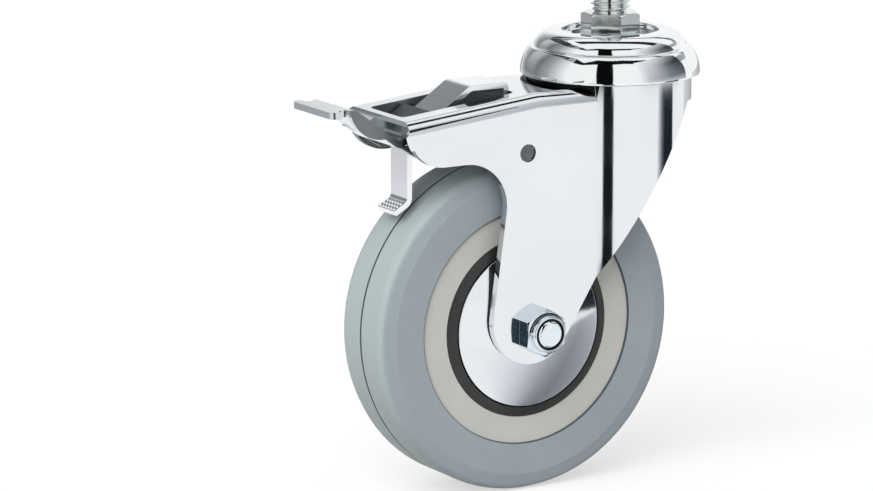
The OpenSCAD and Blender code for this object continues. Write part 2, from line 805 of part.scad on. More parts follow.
// Flange of the lever, drawn for the near side: arm and eye; low is the foot of its rear end
module flange(low) {
    plate(-lever_half, -flange_in) polygon([
        arm_start, throat - half_sheet, pin + [0, arm_half], pin - [0, arm_half],
        throat + [arm_drop, -arm_drop], low
    ]);
    translate([pin[0], -flange_in, pin[1]]) rotate([90, 0, 0])
        cylinder(h = cheek_in - run_clear - flange_in, r = eye_r);
}

// Brake lever in one pressing: tread, half-moon on the near side, flanges with eyes on the pin,
// and the nose over the blade
module brake_lever() {
    top = rounded([tip, knuckle, throat, nose], [knuckle_r, throat_r]);
    color("gainsboro") difference() {
        union() {
            intersection() {
                plate(-tread_half, tread_half) polygon(strip(top, -lever_t, 0));
                translate([0, 0, tyre_top]) linear_extrude(crown_gap + horn_back) lever_plan();
            }
            plate(-lever_half, -flange_in) moon_outline();
            flange(moon - [0, moon_r] + half_sheet);
            on_side(far) flange(arm_start - 2 * half_sheet);
        }
        translate([pin[0], 0, pin[1]]) rotate([90, 0, 0])
            cylinder(h = 2 * cheek_out, r = pin_r + pin_clear, center = true);
        for (side = [near, far])
            translate([relief_x, side * lever_half, tyre_top]) cylinder(h = 2 * crown_gap, r = relief_r);
    }
}

// Brake blade: hook at the window, raised top, ramp, arm and the foot over the tyre
module brake_blade() {
    radii = [over, over, roll_r, elbow_r, roll_r];
    path = rounded([toe, hook, [hook_x, blade_z], roll, elbow, heel, foot], radii);
    color("lightgray") intersection() {
        plate(-blade_half, blade_half) polygon(strip(path, -blade_t / 2, blade_t / 2));
        union() {
            translate([rear_x, -blade_half, elbow[1]]) cube([horn_back + trail, 2 * blade_half, fork_h]);
            translate([rear_x, -shoe_half, axle_z]) cube([horn_back, 2 * shoe_half, fork_h]);
        }
    }
}

stem();
swivel_cap();
upper_balls();
lower_balls();
lower_cup();
fork();
brake_pin();
axle_bolt();
axle_nut();
axle_spacer();
axle_collar(near);  // axle_collar_near
axle_collar(far);  // axle_collar_far
thread_guard(near);  // thread_guard_near
thread_guard(far);  // thread_guard_far
bearing_inner(near);  // bearing_inner_near
bearing_inner(far);  // bearing_inner_far
tyre();
wheel_core();
seal_ring(near);  // seal_ring_near
seal_ring(far);  // seal_ring_far
bearing_outer(near);  // bearing_outer_near
bearing_outer(far);  // bearing_outer_far
bearing_balls(near);  // bearing_balls_near
bearing_balls(far);  // bearing_balls_far
brake_lever();
brake_blade();
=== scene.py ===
# Braked swivel castor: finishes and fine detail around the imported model.
import math

import bmesh
import bpy
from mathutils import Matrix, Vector


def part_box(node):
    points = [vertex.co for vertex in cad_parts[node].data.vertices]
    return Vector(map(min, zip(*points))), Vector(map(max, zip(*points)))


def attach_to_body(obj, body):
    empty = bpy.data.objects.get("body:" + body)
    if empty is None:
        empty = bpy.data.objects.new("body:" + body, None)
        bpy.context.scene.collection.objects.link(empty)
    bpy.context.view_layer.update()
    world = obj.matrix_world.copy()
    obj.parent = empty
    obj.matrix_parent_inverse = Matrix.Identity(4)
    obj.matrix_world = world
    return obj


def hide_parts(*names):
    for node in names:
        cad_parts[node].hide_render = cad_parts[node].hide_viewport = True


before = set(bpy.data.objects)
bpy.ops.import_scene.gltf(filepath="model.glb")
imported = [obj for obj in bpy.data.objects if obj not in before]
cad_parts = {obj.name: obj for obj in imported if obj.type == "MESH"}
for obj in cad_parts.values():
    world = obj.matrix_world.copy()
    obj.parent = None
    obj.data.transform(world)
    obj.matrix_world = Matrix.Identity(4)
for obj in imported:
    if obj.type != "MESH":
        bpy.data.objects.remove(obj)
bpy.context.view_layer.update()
mm = 0.001
scene = bpy.context.scene
tyreLow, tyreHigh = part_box("tyre")
axle = (tyreLow + tyreHigh) / 2
floorHeight = tyreLow.z
print("frame loaded:", len(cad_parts), "nodes")


# sRGB hex to linear, because shader sockets are linear
def colour(hexText):
    levels = [int(hexText[i:i + 2], 16) / 255 for i in (1, 3, 5)]
    return [v / 12.92 if v <= 0.04045 else ((v + 0.055) / 1.055) ** 2.4 for v in levels] + [1.0]


# adds a node: settings are its properties, inputs are values or sockets to link
def addNode(tree, kind, inputs=None, **settings):
    node = tree.nodes.new(kind)
    for name, value in settings.items():
        setattr(node, name, value)
    for socket, value in (inputs or {}).items():
        if isinstance(value, bpy.types.NodeSocket):
            tree.links.new(value, node.inputs[socket])
        else:
            node.inputs[socket].default_value = value
    return node


def startMaterial(name):
    material = bpy.data.materials.new(name)
    material.use_nodes = True
    tree = material.node_tree
    tree.nodes.clear()
    shader = addNode(tree, "ShaderNodeBsdfPrincipled")
    addNode(tree, "ShaderNodeOutputMaterial", {"Surface": shader.outputs["BSDF"]})
    place = addNode(tree, "ShaderNodeTexCoord").outputs["Object"]
    return material, tree, shader, place


# noise whose blobs are about sizeMm across, spread over low to high
def mottle(tree, place, sizeMm, low, high):
    noise = addNode(tree, "ShaderNodeTexNoise", {
        "Vector": place, "Scale": 1 / (sizeMm * mm), "Detail": 3.0,
    })
    return addNode(tree, "ShaderNodeMapRange", {
        "Value": noise.outputs["Fac"], "From Min": 0.3, "From Max": 0.7, "To Min": low, "To Max": high,
    }).outputs["Result"]


# plated steel: bright metal, faint cloudy polish and orange peel under the plating
def platedSteel(name, spec):
    material, tree, shader, place = startMaterial(name)
    shader.inputs["Metallic"].default_value = 1.0
    tint = addNode(tree, "ShaderNodeMix", {
        "Factor": mottle(tree, place, spec["cloudMm"], 0.0, 1.0),
        "A": colour(spec["colour"]), "B": colour(spec["cloud"]),
    }, data_type="RGBA")
    tree.links.new(tint.outputs["Result"], shader.inputs["Base Color"])
    rough = mottle(tree, place, spec["polishMm"], spec["rough"][0], spec["rough"][1])
    tree.links.new(rough, shader.inputs["Roughness"])
    peel = addNode(tree, "ShaderNodeTexNoise", {
        "Vector": place, "Scale": 1 / (spec["peelMm"] * mm), "Detail": 2.0,
    })
    bump = addNode(tree, "ShaderNodeBump", {
        "Height": peel.outputs["Fac"], "Strength": spec["peel"], "Distance": 0.05 * mm,
    })
    tree.links.new(bump.outputs["Normal"], shader.inputs["Normal"])
    return material


# moulded plastic or rubber: one colour with a slight drift, fine spark-eroded grain
def moulded(name, spec):
    material, tree, shader, place = startMaterial(name)
    shader.inputs["IOR"].default_value = spec["ior"]
    tint = addNode(tree, "ShaderNodeMix", {
        "Factor": mottle(tree, place, spec["driftMm"], 0.0, 1.0),
        "A": colour(spec["colour"]), "B": colour(spec["drift"]),
    }, data_type="RGBA")
    tree.links.new(tint.outputs["Result"], shader.inputs["Base Color"])
    rough = mottle(tree, place, spec["driftMm"] / 4, spec["rough"][0], spec["rough"][1])
    tree.links.new(rough, shader.inputs["Roughness"])
    grain = addNode(tree, "ShaderNodeTexNoise", {
        "Vector": place, "Scale": 1 / (spec["grainMm"] * mm), "Detail": 4.0,
    })
    bump = addNode(tree, "ShaderNodeBump", {
        "Height": grain.outputs["Fac"], "Strength": spec["grain"], "Distance": 0.06 * mm,
    })
    tree.links.new(bump.outputs["Normal"], shader.inputs["Normal"])
    return material, tree, shader, place


# tyre rubber: greener on the ground tread, a little darker on the shoulder as painted shade for the light it
# catches, painted shade in the moulding line and at the joint with the core, where the grooves lie in shade
def bandedRubber(name, spec):
    material, tree, shader, place = moulded(name, spec)
    plain = shader.inputs["Base Color"].links[0].from_socket
    across = addNode(tree, "ShaderNodeSeparateXYZ", {0: place}).outputs["Y"]
    width = addNode(tree, "ShaderNodeMath", {0: across}, operation="ABSOLUTE").outputs[0]
    spoke = addNode(tree, "ShaderNodeVectorMath", {0: place, 1: axle}, operation="SUBTRACT").outputs[0]
    flat = addNode(tree, "ShaderNodeVectorMath", {0: spoke, 1: (1, 0, 1)}, operation="MULTIPLY").outputs[0]
    reach = addNode(tree, "ShaderNodeVectorMath", {0: flat}, operation="LENGTH").outputs["Value"]
    tread = addNode(tree, "ShaderNodeMapRange", {
        "Value": reach, "From Min": spec["treadFrom"] - spec["treadSoft"],
        "From Max": spec["treadFrom"] + spec["treadSoft"],
    }).outputs["Result"]
    # painted shade: dark lines in the moulding line and at the joint with the core, where the grooves lie in
    # shade
    line = addNode(tree, "ShaderNodeMapRange", {
        "Value": width, "From Min": spec["lineHalf"], "From Max": spec["lineHalf"] - spec["lineSoft"],
    }).outputs["Result"]
    lined = addNode(tree, "ShaderNodeMath", {0: line, 1: tread}, operation="MULTIPLY").outputs[0]
    joint = addNode(tree, "ShaderNodeMapRange", {
        "Value": reach, "From Min": spec["jointTo"], "From Max": spec["jointTo"] - spec["jointSoft"],
    }).outputs["Result"]
    grooveShade = addNode(tree, "ShaderNodeMath", {0: lined, 1: joint}, operation="MAXIMUM").outputs[0]
    # painted shade: the shoulder band is made a little darker, to even out the light it catches
    wall = addNode(tree, "ShaderNodeMapRange", {
        "Value": reach, "From Min": spec["wallFrom"] - spec["wallSoft"],
        "From Max": spec["wallFrom"] + spec["wallSoft"],
    }).outputs["Result"]
    shoulderShaded = addNode(tree, "ShaderNodeMix", {
        "Factor": wall, "A": plain, "B": colour(spec["wall"]),
    }, data_type="RGBA")
    ground = addNode(tree, "ShaderNodeMix", {
        "Factor": tread, "A": shoulderShaded.outputs["Result"], "B": colour(spec["tread"]),
    }, data_type="RGBA")
    grooveShaded = addNode(tree, "ShaderNodeMix", {
        "Factor": grooveShade, "A": ground.outputs["Result"], "B": colour(spec["grooveShade"]),
    }, data_type="RGBA")
    tree.links.new(grooveShaded.outputs["Result"], shader.inputs["Base Color"])
    return material


finishes = {
    # mirror chrome on the cap: black and white reflections with hard edges
    "brightChrome": platedSteel("brightChromePlate", {
        "colour": "#f2f4f5", "cloud": "#eaedef", "cloudMm": 18, "rough": (0.03, 0.05), "polishMm": 6,
        "peelMm": 2.5, "peel": 0.02,
    }),
    # barrel-polished zinc on the pressed sheet: slightly softer mirror
    "polishedZinc": platedSteel("polishedZincSheet", {
        "colour": "#e7ebee", "cloud": "#e3e7ea", "cloudMm": 22, "rough": (0.06, 0.1), "polishMm": 9,
        "peelMm": 1.8, "peel": 0.03,
    }),
    # tumbled zinc on the lever: greyer and softer than the fork
    "tumbledZinc": platedSteel("tumbledZincSheet", {
        "colour": "#d2d7d9", "cloud": "#cbd1d3", "cloudMm": 12, "rough": (0.1, 0.15), "polishMm": 6,
        "peelMm": 1.5, "peel": 0.03,
    }),
    # the sheet's inner side and the lever's part inside the fork, not polished: dull, with a darker colour
    # that is painted shade inside the fork
    "dullShadedZinc": platedSteel("dullShadedZincSheet", {
        "colour": "#8d9294", "cloud": "#7c8183", "cloudMm": 9, "rough": (0.38, 0.5), "polishMm": 4,
        "peelMm": 1.2, "peel": 0.1,
    }),
    # blue passivated zinc on the axle's bolt and nut: cool tint, fine satin
    "blueZinc": platedSteel("bluePassivatedZinc", {
        "colour": "#e4edf2", "cloud": "#dbe6ec", "cloudMm": 4, "rough": (0.09, 0.15), "polishMm": 2,
        "peelMm": 0.9, "peel": 0.04,
    }),
    # bright zinc on the stem: neutral, crisp enough for dark lines in the thread
    "brightZinc": platedSteel("brightZincPlate", {
        "colour": "#e2e6e5", "cloud": "#d8dddc", "cloudMm": 4, "rough": (0.07, 0.12), "polishMm": 2,
        "peelMm": 0.9, "peel": 0.04,
    }),
    # black oxide, rubbed, on the pivot pin: a grey spot in the dimple
    "blackOxide": platedSteel("blackOxideSteel", {
        "colour": "#6c7072", "cloud": "#5e6264", "cloudMm": 2, "rough": (0.2, 0.3), "polishMm": 1,
        "peelMm": 0.6, "peel": 0.08,
    }),
    # painted shade: a near-black finish on the neck round the ball race and inside the cap, standing in for
    # the dark gap under the cap
    "paintedShadeSteel": platedSteel("paintedShadeRaceSteel", {
        "colour": "#1f1e1c", "cloud": "#171614", "cloudMm": 5, "rough": (0.25, 0.4), "polishMm": 2,
        "peelMm": 0.8, "peel": 0.05,
    }),
    # plated spring steel on the blade: pale, satin
    "springSteel": platedSteel("platedSpringSteel", {
        "colour": "#f0f1f4", "cloud": "#ecedf1", "cloudMm": 12, "rough": (0.14, 0.18), "polishMm": 6,
        "peelMm": 1.2, "peel": 0.03,
    }),
    # ground bearing steel on the pieces inside: fine satin
    "groundSteel": platedSteel("groundBearingSteel", {
        "colour": "#cfd2d5", "cloud": "#c2c6ca", "cloudMm": 3, "rough": (0.12, 0.2), "polishMm": 1.5,
        "peelMm": 0.6, "peel": 0.05,
    }),
    # moulded elastic rubber on the tyre: matt, soft light, with painted shade on the shoulder band and in the
    # grooves
    "greyRubber": bandedRubber("greyElasticRubber", {
        "colour": "#9ca6ad", "drift": "#98a2a9", "driftMm": 14, "rough": (0.5, 0.62), "grainMm": 0.35,
        "grain": 0.18, "ior": 1.5, "treadFrom": 49.1 * mm, "treadSoft": 0.2 * mm, "tread": "#a0abab",
        "wallFrom": 45.5 * mm, "wallSoft": 1.5 * mm, "wall": "#98a2a9", "jointTo": 35.8 * mm,
        "jointSoft": 0.15 * mm, "lineHalf": 0.5 * mm, "lineSoft": 0.1 * mm, "grooveShade": "#4a5456",
    }),
    # moulded nylon on the core: satin, cream
    "creamPlastic": moulded("creamNylon", {
        "colour": "#c8c8c2", "drift": "#c4c4be", "driftMm": 11, "rough": (0.42, 0.52), "grainMm": 0.4,
        "grain": 0.12, "ior": 1.5,
    })[0],
    # moulded nylon on the seal rings: satin, black
    "blackPlastic": moulded("blackNylon", {
        "colour": "#262625", "drift": "#222221", "driftMm": 6, "rough": (0.35, 0.5), "grainMm": 0.3,
        "grain": 0.15, "ior": 1.5,
    })[0],
}
print("finishes made:", len(finishes))


# a finished mesh becomes a piece of the object
def addPiece(name, mesh, finish, body, stoodFor):
    piece = bpy.data.objects.new(name, mesh)
    scene.collection.objects.link(piece)
    mesh.materials.append(finishes[finish])
    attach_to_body(piece, body)
    if stoodFor:
        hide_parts(*stoodFor)
    return piece


# how CAD meshes are cleaned: welding and cutting distances, then angles in degrees
clean = {"weld": 0.002 * mm, "plane": 0.001 * mm, "flat": 0.3, "sharp": 30, "smooth": 40}


# copy of a CAD node with its triangles merged into faces
def mergedCopy(node):
    bm = bmesh.new()
    bm.from_mesh(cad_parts[node].data)
    bmesh.ops.remove_doubles(bm, verts=bm.verts, dist=clean["weld"])
    bmesh.ops.dissolve_limit(bm, angle_limit=math.radians(clean["flat"]), verts=bm.verts, edges=bm.edges)
    return bm


# rounds the sharp edges
def breakEdges(bm, width):
    limit = math.radians(clean["sharp"])
    sharp = [e for e in bm.edges if len(e.link_faces) == 2 and e.calc_face_angle() > limit]
    bmesh.ops.bevel(bm, geom=sharp, offset=width * mm, offset_type="OFFSET", segments=2, profile=0.5,
                    affect="EDGES", clamp_overlap=True)


# plain mesh of an object with its modifiers applied
def bakedMesh(mesh, name, addModifiers):
    holder = bpy.data.objects.new(name + "Holder", mesh)
    scene.collection.objects.link(holder)
    addModifiers(holder)
    baked = bpy.data.meshes.new_from_object(holder.evaluated_get(bpy.context.evaluated_depsgraph_get()))
    baked.name = name
    baked.materials.clear()
    bpy.data.objects.remove(holder)
    bpy.data.meshes.remove(mesh)
    return baked


# mesh with smooth faces whose normals follow the larger face at each edge
def smoothMesh(bm, name):
    mesh = bpy.data.meshes.new(name)
    bm.to_mesh(mesh)
    bm.free()
    mesh.shade_smooth()
    mesh.set_sharp_from_angle(angle=math.radians(clean["smooth"]))

    def weigh(holder):
        holder.modifiers.new("weighted", "WEIGHTED_NORMAL").keep_sharp = True
    return bakedMesh(mesh, name, weigh)


# starts a Geometry Nodes tree with named number inputs and one geometry output
def startTree(name, sizes):
    tree = bpy.data.node_groups.new(name, "GeometryNodeTree")
    tree.interface.new_socket("Geometry", in_out="OUTPUT", socket_type="NodeSocketGeometry")
    for label in sizes:
        tree.interface.new_socket(label, in_out="INPUT", socket_type="NodeSocketFloat")
    return tree, addNode(tree, "NodeGroupInput").outputs, addNode(tree, "NodeGroupOutput")


# runs a tree on an empty mesh, with its inputs set by identifier, and bakes the result
def runTree(tree, name, sizes):
    def attach(holder):
        modifier = holder.modifiers.new("made", "NODES")
        modifier.node_group = tree
        identifiers = {s.name: s.identifier for s in tree.interface.items_tree if s.in_out == "INPUT"}
        for label, value in sizes.items():
            modifier[identifiers[label]] = float(value)
    return bakedMesh(bpy.data.meshes.new(name + "Seed"), name, attach)


# M12 thread of the stem: a sheet rolled round the axis, its radius following the helix
thread = {"Radius": 5.95 * mm, "Pitch": 1.75 * mm, "Depth": 1.05 * mm, "Length": 29.9 * mm, "Fade": 1.6 * mm}
threadRows, threadSides = 180, 72
threadFlat = {"root": 0.16, "crest": 0.86}  # shares of half a pitch between which the flank rises
threadWeld = 0.005 * mm
shankCut = 0.05 * mm  # height over the hexagon where the plain shank ends


def threadTree():
    tree, given, out = startTree("stemThread", thread)
    sheet = addNode(tree, "GeometryNodeMeshGrid", {
        "Size X": 1.0, "Size Y": 1.0, "Vertices X": threadSides + 1, "Vertices Y": threadRows + 1,
    })
    spot = addNode(tree, "ShaderNodeSeparateXYZ", {0: addNode(tree, "GeometryNodeInputPosition").outputs[0]})
    known = {label: given[label] for label in thread}
    known.update({"round": spot.outputs["X"], "up": spot.outputs["Y"]})
    # each step names its result, the operation and its terms: earlier results, inputs or numbers
    steps = [
        ("share", "ADD", "up", 0.5), ("height", "MULTIPLY", "share", "Length"),
        ("turns", "DIVIDE", "height", "Pitch"), ("lag", "SUBTRACT", "turns", "round"),
        ("phase", "FRACT", "lag"), ("middle", "SUBTRACT", "phase", 0.5),
        ("off", "ABSOLUTE", "middle"), ("flank", "MULTIPLY", "off", 2.0),
        ("past", "SUBTRACT", "flank", threadFlat["root"]),
        ("slope", "DIVIDE", "past", threadFlat["crest"] - threadFlat["root"]),
        ("notUnder", "MAXIMUM", "slope", 0.0), ("crest", "MINIMUM", "notUnder", 1.0),
        ("lowFade", "DIVIDE", "height", "Fade"), ("left", "SUBTRACT", "Length", "height"),
        ("highFade", "DIVIDE", "left", "Fade"), ("endFade", "MINIMUM", "lowFade", "highFade"),
        ("fade", "MINIMUM", "endFade", 1.0), ("cut", "MULTIPLY", "crest", "fade"),
        ("rise", "MULTIPLY", "cut", "Depth"), ("root", "SUBTRACT", "Radius", "Depth"),
        ("radius", "ADD", "root", "rise"), ("angle", "MULTIPLY", "round", 2 * math.pi),
        ("cosine", "COSINE", "angle"), ("sine", "SINE", "angle"),
        ("x", "MULTIPLY", "radius", "cosine"), ("y", "MULTIPLY", "radius", "sine"),
    ]
    for result, operation, *terms in steps:
        inputs = {i: known.get(term, term) for i, term in enumerate(terms)}
        known[result] = addNode(tree, "ShaderNodeMath", inputs, operation=operation).outputs[0]
    place = addNode(tree, "ShaderNodeCombineXYZ", {0: known["x"], 1: known["y"], 2: known["height"]})
    rolled = addNode(tree, "GeometryNodeSetPosition", {
        "Geometry": sheet.outputs["Mesh"], "Position": place.outputs[0],
    })
    disc = addNode(tree, "GeometryNodeMeshCircle", {
        "Vertices": threadSides, "Radius": known["root"],
    }, fill_type="NGON")
    topPlace = addNode(tree, "ShaderNodeCombineXYZ", {2: given["Length"]})
    top = addNode(tree, "GeometryNodeTransform", {
        "Geometry": disc.outputs[0], "Translation": topPlace.outputs[0],
    })
    low = addNode(tree, "GeometryNodeFlipFaces", {"Mesh": disc.outputs[0]})
    joined = addNode(tree, "GeometryNodeJoinGeometry")
    for part in (low, top, rolled):
        tree.links.new(part.outputs[0], joined.inputs[0])
    welded = addNode(tree, "GeometryNodeMergeByDistance", {
        "Geometry": joined.outputs[0], "Distance": threadWeld,
    })
    whole = addNode(tree, "GeometryNodeRealizeInstances", {"Geometry": welded.outputs[0]})
    painted = addNode(tree, "GeometryNodeSetMaterial", {
        "Geometry": whole.outputs[0], "Material": finishes["brightZinc"],
    })
    tree.links.new(painted.outputs[0], out.inputs[0])
    return tree


# pressed grip on the blade's foot: rows of small pyramids, cut off at the top
gripRows, gripColumns = 3, 6
gripStep = {"along": 1.35 * mm, "across": 1.5 * mm}
grip = {"Size along": (gripRows - 1) * gripStep["along"],
        "Size across": (gripColumns - 1) * gripStep["across"],
        "Half width": 0.62 * mm, "Half top": 0.155 * mm, "Height": 0.45 * mm}


def gripTree(place, tilt):
    tree, given, out = startTree("footGrip", grip)
    points = addNode(tree, "GeometryNodeMeshGrid", {
        "Size X": given["Size along"], "Size Y": given["Size across"],
        "Vertices X": gripRows, "Vertices Y": gripColumns,
    })
    tooth = addNode(tree, "GeometryNodeMeshCone", {
        "Vertices": 4, "Radius Bottom": given["Half width"], "Radius Top": given["Half top"],
        "Depth": given["Height"],
    })
    teeth = addNode(tree, "GeometryNodeInstanceOnPoints", {
        "Points": points.outputs["Mesh"], "Instance": tooth.outputs["Mesh"],
    })
    laid = addNode(tree, "GeometryNodeTransform", {
        "Geometry": teeth.outputs[0], "Translation": place, "Rotation": (0, tilt, 0),
    })
    whole = addNode(tree, "GeometryNodeRealizeInstances", {"Geometry": laid.outputs[0]})
    painted = addNode(tree, "GeometryNodeSetMaterial", {
        "Geometry": whole.outputs[0], "Material": finishes["springSteel"],
    })
    tree.links.new(painted.outputs[0], out.inputs[0])
    return tree


# faces with a finish of their own: the sheet's inner sides and the lever inside the fork, dull and darkened
# with painted shade; the race and the cap's inside in near-black painted shade; the nut's nylon ring
inner = {"wheelSide": tyreHigh.y + 3 * mm, "crownUnder": -45 * mm, "raceHeight": -20.5 * mm,
         "raceReach": 25.5 * mm, "leverNose": -79 * mm, "capInside": -10 * mm, "nylonReach": 4.7 * mm}
mostly, squarely = 0.5, 0.9  # how far a face has to look one way


# the sheet's inner sides and the crown's underside: rougher, and darkened with painted shade
def inForkSheet(at, normal):
    inward = abs(at.y) < inner["wheelSide"] and normal.y * at.y < -mostly * abs(at.y)
    return inward or (normal.z < -mostly and at.z > inner["crownUnder"])


# the neck under the cap, where the near-black painted shade goes
def onForkRace(at, normal):
    onNeck = abs(normal.z) < mostly and at.xy.length < inner["raceReach"]
    return onNeck and at.z > inner["raceHeight"] and at.x < 0


# the lever's part inside the fork: rougher, and darkened with painted shade
def inLever(at, normal):
    return at.x > inner["leverNose"]


# the cap's inside and underside, where the near-black painted shade goes
def inCap(at, normal):
    inward = normal.xy.dot(at.xy) < -mostly * at.xy.length and at.z < inner["capInside"]
    return inward or normal.z < -squarely


def inNutRing(at, normal):
    return (at - axle).xz.length < inner["nylonReach"]


innerSides = {
    "fork": [("dullShadedZinc", inForkSheet), ("paintedShadeSteel", onForkRace)],
    "brake_lever": [("dullShadedZinc", inLever)],
    "swivel_cap": [("paintedShadeSteel", inCap)],
    "axle_nut": [("blackPlastic", inNutRing)],
}
# the tyre's shoulder: the round of the model drawn in to a soft edge beside the tread;
# corners run from tread to sidewall, across and out from the round's centre
shoulder = {"across": tyreHigh.y - 4.5 * mm, "out": 42 * mm, "corners": [(0, 8), (2.55, 7.05), (4.05, 0)]}


def creaseShoulder(bm):
    corners = [Vector(c) * mm for c in shoulder["corners"]]
    for vert in bm.verts:
        spoke = (vert.co - axle).xz
        reach = Vector((abs(vert.co.y) - shoulder["across"], spoke.length - shoulder["out"]))
        if reach.x <= 0 or reach.y <= 0:
            continue
        for start, end in zip(corners, corners[1:]):
            side = end - start
            share = start.cross(side) / reach.cross(side)
            at = (reach * share - start).dot(side) / side.length_squared
            if 0 <= at <= 1 and share < 1:
                out = spoke * (shoulder["out"] + reach.y * share) / spoke.length
                across = math.copysign(shoulder["across"] + reach.x * share, vert.co.y)
                vert.co = axle + Vector((out.x, across, out.y))
                break


# the fork's neck is a true cylinder: exact normals keep ripples out of its mirror
neck = {"reach": 24.2 * mm, "outward": 0.995}


def trueNeck(mesh):
    normals = [corner.vector.copy() for corner in mesh.corner_normals]
    for face in mesh.polygons:
        outward = Vector((face.center.x, face.center.y, 0)).normalized()
        if face.center.xy.length > neck["reach"] and face.normal.dot(outward) > neck["outward"]:
            for i in face.loop_indices:
                at = mesh.vertices[mesh.loops[i].vertex_index].co
                normals[i] = Vector((at.x, at.y, 0)).normalized()
    mesh.normals_split_custom_set(normals)


cadPieces = [
    {"node": "swivel_cap", "finish": "brightChrome", "body": "head", "slot": "chrome", "edge": 0.35},
    {"node": "stem", "finish": "brightZinc", "body": "head", "slot": "zinc", "edge": 0.2},
    {"node": "fork", "finish": "polishedZinc", "body": "swivel", "slot": "plated_sheet", "edge": 0.35},
    {"node": "brake_pin", "finish": "blackOxide", "body": "swivel", "slot": "zinc", "edge": 0.1},
    {"node": "axle_bolt", "finish": "blueZinc", "body": "swivel", "slot": "zinc", "edge": 0.2},
    {"node": "axle_nut", "finish": "blueZinc", "body": "swivel", "slot": "zinc", "edge": 0.25},
    {"node": "thread_guard_near", "finish": "polishedZinc", "body": "swivel", "slot": "plated_sheet",
     "edge": 0.2},
    {"node": "thread_guard_far", "finish": "polishedZinc", "body": "swivel", "slot": "plated_sheet",
     "edge": 0.2},
    {"node": "tyre", "finish": "greyRubber", "body": "wheel", "slot": "grey_tyre", "edge": 0.2},
    {"node": "wheel_core", "finish": "creamPlastic", "body": "wheel", "slot": "cream_core", "edge": 0.3},
    {"node": "seal_ring_near", "finish": "blackPlastic", "body": "wheel", "slot": "black_seal", "edge": 0.3},
    {"node": "seal_ring_far", "finish": "blackPlastic", "body": "wheel", "slot": "black_seal", "edge": 0.3},
    {"node": "brake_lever", "finish": "tumbledZinc", "body": "pedal", "slot": "plated_sheet", "edge": 0.3},
    {"node": "brake_blade", "finish": "springSteel", "body": "blade", "slot": "spring_steel", "edge": 0.15},
]
for spec in cadPieces:
    bm = mergedCopy(spec["node"])
    if spec["node"] == "stem":
        # the plain shank above the hexagon gives way to the thread
        cut = bmesh.ops.bisect_plane(bm, geom=bm.verts[:] + bm.edges[:] + bm.faces[:], dist=clean["plane"],
                                     plane_co=(0, 0, shankCut), plane_no=(0, 0, 1), clear_outer=True)
        bmesh.ops.holes_fill(bm, edges=[e for e in cut["geom_cut"] if isinstance(e, bmesh.types.BMEdge)])
    if spec["node"] == "tyre":
        creaseShoulder(bm)
    breakEdges(bm, spec["edge"])
    if spec["node"] == "stem":
        bm.from_mesh(runTree(threadTree(), "stemThreadMesh", thread))
    name = spec["node"] + "Finished"
    mesh = smoothMesh(bm, name)
    addPiece(name, mesh, spec["finish"], spec["body"], [spec["node"]])
    for finish, chosen in innerSides.get(spec["node"], []):
        mesh.materials.append(finishes[finish])
        for face in mesh.polygons:
            if chosen(face.center, face.normal):
                face.material_index = len(mesh.materials) - 1
    if spec["node"] == "fork":
        trueNeck(mesh)
    print(spec["node"], "finished:", len(mesh.polygons), "faces")

# the grip sits on the foot's upper face, the lowest face that looks up and back
blade = mergedCopy("brake_blade")
foot = {"turn": 30, "like": 0.995}
footUp = Vector((-math.sin(math.radians(foot["turn"])), 0, math.cos(math.radians(foot["turn"]))))
footFaces = [face for face in blade.faces if face.normal.dot(footUp) > foot["like"]]
footFace = min(footFaces, key=lambda face: face.calc_center_median().z)
gripPlace = footFace.calc_center_median()
gripTilt = math.asin(footFace.normal.x)
blade.free()
gripMesh = runTree(gripTree(gripPlace, gripTilt), "footGrip", grip)
addPiece("footGrip", gripMesh, "springSteel", "blade", [])
print("foot grip:", len(gripMesh.polygons), "faces at", [round(1000 * v, 1) for v in gripPlace])

# pieces inside keep their CAD mesh and get the ground steel
for node in ("upper_balls", "lower_balls", "lower_cup", "axle_spacer", "axle_collar_near", "axle_collar_far",
             "bearing_inner_near", "bearing_inner_far", "bearing_outer_near", "bearing_outer_far",
             "bearing_balls_near", "bearing_balls_far"):
    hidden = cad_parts[node].data
    hidden.materials.clear()
    hidden.materials.append(finishes["groundSteel"])
print("inner pieces finished")

# studio: pale floor, even white room, one soft sun and dark flags for the metal to mirror
studio = {"ambient": 0.66, "sun": 2.7, "sunAngle": 55, "sunFrom": (-0.85, -0.5, 0.8), "floor": "#a4a4a4",
          "floorLift": 0.58, "floorSize": 12, "floorRough": 0.9, "floorSpecular": 0.1}
half = studio["floorSize"] / 2


# one for rays that see the room itself: from the camera, a mirror or glass
def seenRay(tree):
    path = addNode(tree, "ShaderNodeLightPath").outputs
    seen = addNode(tree, "ShaderNodeMath", {
        0: path["Is Camera Ray"], 1: path["Is Glossy Ray"],
    }, operation="ADD")
    return addNode(tree, "ShaderNodeMath", {0: seen.outputs[0], 1: path["Is Transmission Ray"]},
                   operation="ADD", use_clamp=True).outputs[0]


# a board of the studio, not part of the object
def addBoard(name, points, faces, material):
    mesh = bpy.data.meshes.new(name)
    mesh.from_pydata(points, [], faces)
    mesh.materials.append(material)
    board = bpy.data.objects.new(name, mesh)
    scene.collection.objects.link(board)
    return board


